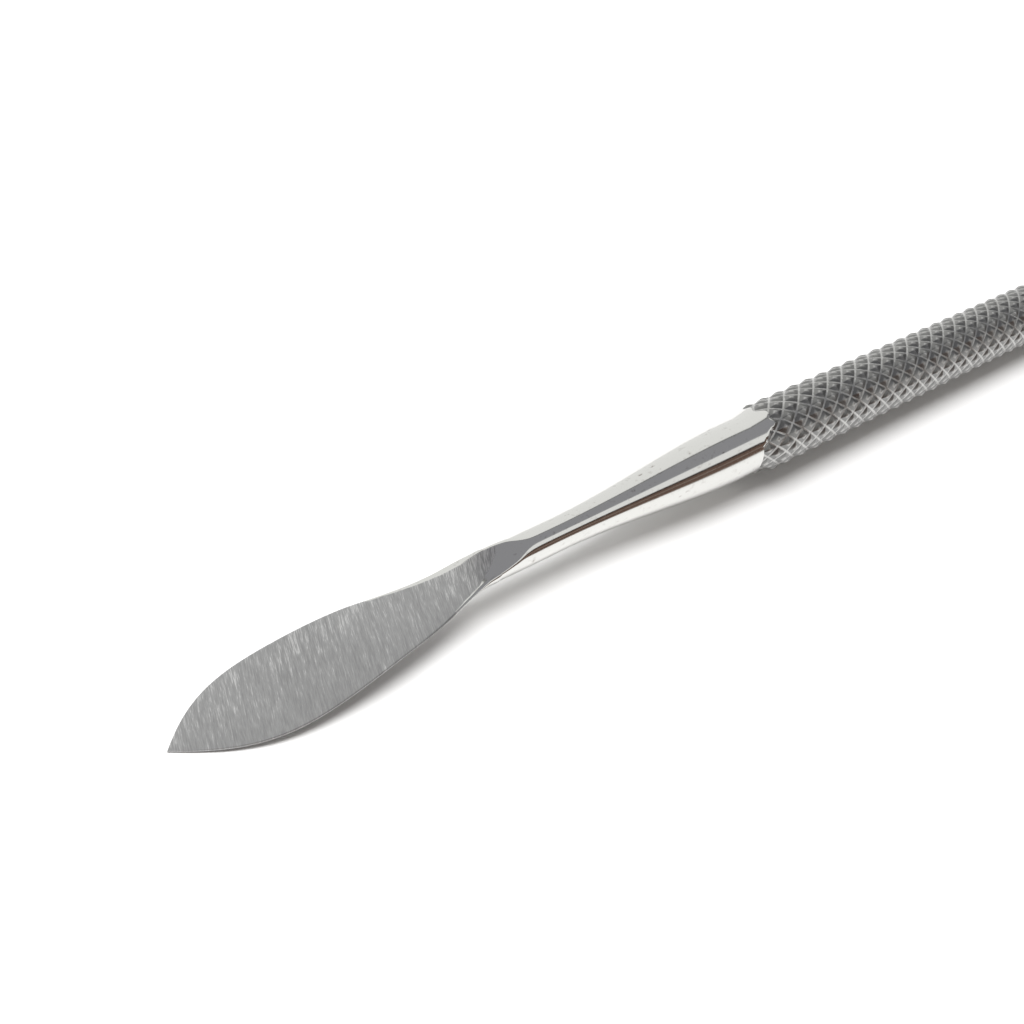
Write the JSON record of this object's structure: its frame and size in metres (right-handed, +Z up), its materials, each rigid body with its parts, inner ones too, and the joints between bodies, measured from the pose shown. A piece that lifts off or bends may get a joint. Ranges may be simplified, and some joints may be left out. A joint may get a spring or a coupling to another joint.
{
  "type": "double-ended metal spudger",
  "caption": "Slim metal spudger: diamond-knurled round handle, waisted polished shank with a drooping leaf blade at one end and a narrow flat pry tip at the other.",
  "frame": {"origin": "middle of the knurled handle, on its axis", "axes": "+X along the handle towards the pry tip, so the leaf blade is at -X; +Z up, square to the blades; lying on a bench the tool touches it with the leaf tip, 3.1 mm below the axis, and with the rear of the handle"},
  "size_m": [0.1745, 0.0056, 0.0056],
  "materials": {
    "knurled_steel": "satin, diamond knurled",
    "polished_steel": "polished taper and waist, blade faces brushed"
  },
  "bodies": {
    "root": {"knurled_handle": "knurled_steel", "leaf_shank": "polished_steel", "pry_shank": "polished_steel"}
  },
  "joints": []
}
